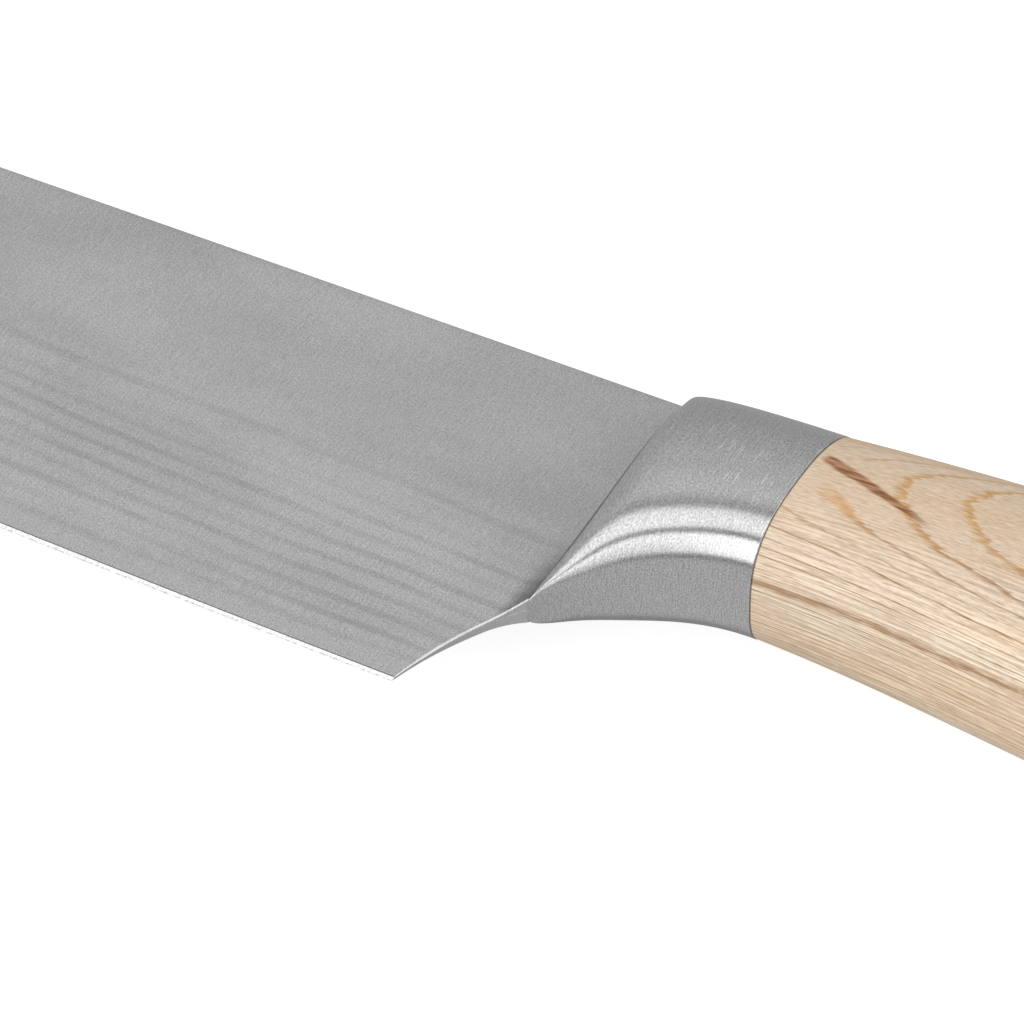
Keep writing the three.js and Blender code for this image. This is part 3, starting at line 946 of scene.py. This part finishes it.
def pale_wood():
    """Ring-porous wood: a pale ground, then year lines, streaks and pores, all of it shaded by the fibres."""
    finish, tree, shader = new_finish("pale_wood")
    place = add(tree, "ShaderNodeTexCoord").node.outputs["Object"]
    lay = add(tree, "ShaderNodeUVMap", uv_map=GRAIN_MAP)
    height = from_heel(tree)[1]
    flame = blend_range(tree, height, 30 * MM, 36 * MM)
    upper = blend_range(tree, height, 24 * MM, 30 * MM)
    lines, dashes = year_lines(tree, place)
    fibres, pores = fibres_and_pores(tree, lay, height, flame)
    warm = stretched_noise(tree, place, (30, 240, 240), 2.0, (1, 7, 3))
    # Painted light: the first tone of each pair, on the lower side, is lighter to make up for the shade that
    # side gets.
    pale = mix_colour(tree, upper, *pale_tones_painted_light)
    honey = mix_colour(tree, upper, *honey_tones_painted_light)
    tone = mix_colour(tree, blend_range(tree, warm, 0.35, 0.7), pale, honey)
    tone = mix_colour(tree, lines, tone, mix_colour(tree, flame, *line_tones))
    tone = mix_colour(tree, dark_year(tree, lay, dashes), tone, dark_year_tone)
    tone = streaked(tree, place, dashes, tone)
    tone = mix_colour(tree, calc(tree, "MULTIPLY", pores, pore_share), tone, pore_tone)
    fibre_light = mix_colour(tree, blend_range(tree, fibres, 0.3, 0.7), *fibre_tones)
    tone = add(tree, "ShaderNodeVectorMath", {0: tone, 1: fibre_light}, operation="MULTIPLY")
    # Painted shade: the wood's colour is darkened in the groove beside the seam.
    groove = calc(tree, "SUBTRACT", from_heel(tree)[0], float(seam))
    groove = blend_range(tree, groove, 0.2 * MM, 0.1 * MM, 1.0, painted_groove_shade)
    tone = add(tree, "ShaderNodeVectorMath", {0: tone, 3: groove}, operation="SCALE")
    tree.links.new(tone, shader.inputs["Base Color"])
    tree.links.new(blend_range(tree, fibres, 0.3, 0.7, 0.66, 0.54), shader.inputs["Roughness"])
    relief = calc(tree, "MULTIPLY_ADD", pores, -1.2, calc(tree, "MULTIPLY_ADD", lines, -0.5, fibres))
    bump = add(tree, "ShaderNodeBump", {"Height": relief, "Strength": 0.3, "Distance": 0.05 * MM})
    tree.links.new(bump, shader.inputs["Normal"])
    shader.inputs["Specular IOR Level"].default_value = 0.3
    return finish


wood = pale_wood()
print("wood finish with rings of", round(ring_width / MM, 2), "mm")

# %% [markdown]
# ## Resin
# The tang is bedded in amber resin inside the wood. Nothing of it shows, but the piece is there,
# so it gets a finish of its own: a clear brown with a faint cloudiness from trapped air.

# %% Resin
def amber_resin():
    """Amber with cloudy patches a few millimetres wide."""
    finish, tree, shader = new_finish("resin")
    place = add(tree, "ShaderNodeTexCoord").node.outputs["Object"]
    clouds = stretched_noise(tree, place, (300, 300, 300), 3.0)
    tone = mix_colour(tree, clouds, (0.46, 0.30, 0.11, 1), (0.62, 0.47, 0.24, 1))
    tree.links.new(tone, shader.inputs["Base Color"])
    tree.links.new(blend_range(tree, clouds, 0.3, 0.7, 0.3, 0.45), shader.inputs["Roughness"])
    return finish


resin = amber_resin()
print("resin finish:", resin.name)

# %% [markdown]
# ## Joining the pieces to the frame
# Each fine surface stands for one solid of the frame and gets the finish that bears that solid's slot name.
# The knife has no moving parts, so everything rides on the one body there is.

# %% Pieces on the frame
for piece, node, slot, finish in (
    (core, "blade_core", "core_steel", core_steel),
    (left_cladding, "left_cladding", "layered_steel", layered_steel),
    (right_cladding, "right_cladding", "layered_steel", layered_steel),
    (bolster, "bolster", "bolster_steel", bolster_steel),
    (handle, "handle", "pale_wood", wood),
):
    piece.data.materials.append(finish)
    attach(piece, "root")
    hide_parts(node)
bedding_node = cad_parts["tang_bedding"]
bedding_node.material_slots[0].material = resin

# %% [markdown]
# ## Floor and light
# The knife lies on a white table that glows a little, as a light table does, so it throws hardly any
# shadow. Steel shows what stands round it, so the room is a set of soft bands that run along the knife:
# soft greys behind it, a white panel overhead and a brighter one in front, with a narrow dark gap between
# them. Each panel becomes one of the white bands round the bolster, and the gap the thin line between them.
# The front panel dims towards the butt, and the whole room at its far right, because the blade would
# mirror them too strongly when it is looked at from behind and from the nose. A small panel on the right
# draws the choil's bright chamfer, and darker ground behind the knife shades the bolster's lower border.

# %% Floor
floor_side = 6.0
floor_mesh = bpy.data.meshes.new("table")
floor_corners = np.array([[-1, -1, 0], [1, -1, 0], [1, 1, 0], [-1, 1, 0]]) * floor_side / 2
floor_mesh.from_pydata(floor_corners.tolist(), [], [(0, 1, 2, 3)])
table = bpy.data.objects.new("table", floor_mesh)
bpy.context.scene.collection.objects.link(table)
table_finish, _, table_shader = new_finish("table_white")
table_shader.inputs["Base Color"].default_value = (0.35, 0.35, 0.35, 1)
table_shader.inputs["Roughness"].default_value = 0.9
table_shader.inputs["Emission Color"].default_value = (1, 1, 1, 1)
table_shader.inputs["Emission Strength"].default_value = 0.82
floor_mesh.materials.append(table_finish)
table.visible_glossy = False
table.visible_diffuse = False
print(f"table of {floor_side:.0f} m")

# %% Room
room_bands = (
    (0, 0.42), (20, 0.50), (44, 0.62), (58, 0.78), (66, 0.66), (73, 0.42), (79, 0.22), (82, 0.22),
    (85, 1.38), (116.2, 1.38), (118, 0.05), (127.2, 0.05), (129, 2.6), (171, 2.6), (174.5, 0.12), (180, 0.12),
)

room = bpy.data.worlds.new("room")
bpy.context.scene.world = room
room.use_nodes = True
sky = room.node_tree
direction = add(sky, "ShaderNodeTexCoord").node.outputs["Generated"]
to_butt, to_spine, upward = add(sky, "ShaderNodeSeparateXYZ", {0: direction}).node.outputs
turn = calc(sky, "DIVIDE", calc(sky, "ARCTAN2", upward, to_spine), math.pi)
above = add(sky, "ShaderNodeValToRGB", {"Fac": turn})
ramp = above.node.color_ramp
while len(ramp.elements) < len(room_bands):
    ramp.elements.new(1.0)
for stop, (angle, band_level) in zip(ramp.elements, room_bands):
    stop.position = angle / 180
    stop.color = (band_level, band_level, band_level, 1)
print(f"room of {len(room_bands)} bands")

# %% Panels and ground
below_level = 0.60
behind_level = 0.45
rim_level = 0.33
front_fade = 0.42
right_level = 2.8
right_fade = 0.35

in_front = blend_range(sky, to_spine, -0.45, -0.6)
dimmed = calc(sky, "MULTIPLY", in_front, blend_range(sky, to_butt, -0.25, 0.1, 0.0, 1 - front_fade))
above = calc(sky, "MULTIPLY", above, calc(sky, "SUBTRACT", 1.0, dimmed))
right = calc(sky, "MULTIPLY", blend_range(sky, to_butt, 0.6, 0.75), blend_range(sky, to_butt, 0.9, 0.82))
right = calc(sky, "MULTIPLY", right, blend_range(sky, to_spine, -0.6, -0.3))
right = calc(sky, "MULTIPLY", right, blend_range(sky, upward, 0.15, 0.3))
above = calc(sky, "MULTIPLY", above, blend_range(sky, to_butt, 0.75, 0.9, 1.0, right_fade))
above = calc(sky, "MULTIPLY_ADD", right, calc(sky, "SUBTRACT", right_level, above), above)
below = blend_range(sky, upward, 0.0, -0.06)
behind = blend_range(sky, upward, -0.66, -0.5, rim_level, behind_level)
lower = blend_range(sky, to_spine, -0.2, 0.2, below_level, behind)
level = calc(sky, "MULTIPLY_ADD", below, calc(sky, "SUBTRACT", lower, above), above)
sky.links.new(level, sky.nodes["Background"].inputs["Color"])
bpy.context.scene.view_settings.view_transform = "Standard"
print("room nodes:", len(sky.nodes))
